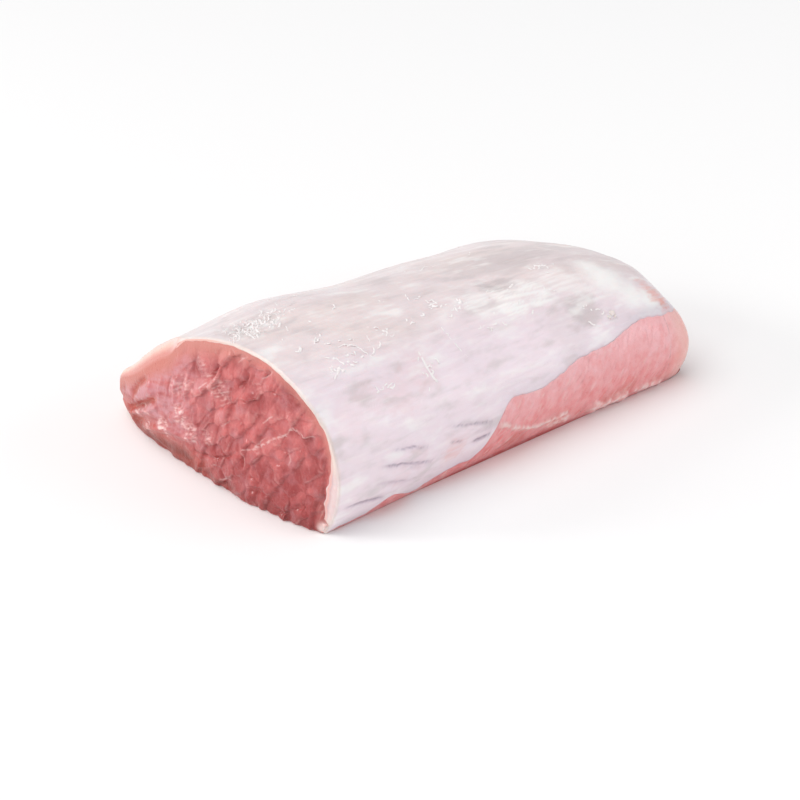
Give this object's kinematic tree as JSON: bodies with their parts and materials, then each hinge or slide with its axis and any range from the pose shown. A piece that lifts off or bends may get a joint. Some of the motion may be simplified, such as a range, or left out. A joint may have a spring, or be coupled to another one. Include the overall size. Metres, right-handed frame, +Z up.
{
  "type": "boneless pork loin",
  "caption": "Raw boneless pork loin joint, cut across at the front, with a thin fat cap over its rounded back and a trimmed bare stretch on one flank.",
  "frame": {"origin": "centre of the footprint's bounding box, on the flat underside that the loin rests on", "axes": "+X along the loin from the front cut to the far end, +Y across it from the steep flank to the thin edge, +Z up"},
  "size_m": [0.2199, 0.1457, 0.065],
  "materials": {
    "lean_meat": "moist raw pork muscle, rose pink with fine pale marbling",
    "fat": "moist, smooth, off-white fat and membrane with a faint lilac tint"
  },
  "bodies": {
    "root": {"lean": "lean_meat", "fat_cap": "fat"}
  },
  "joints": []
}
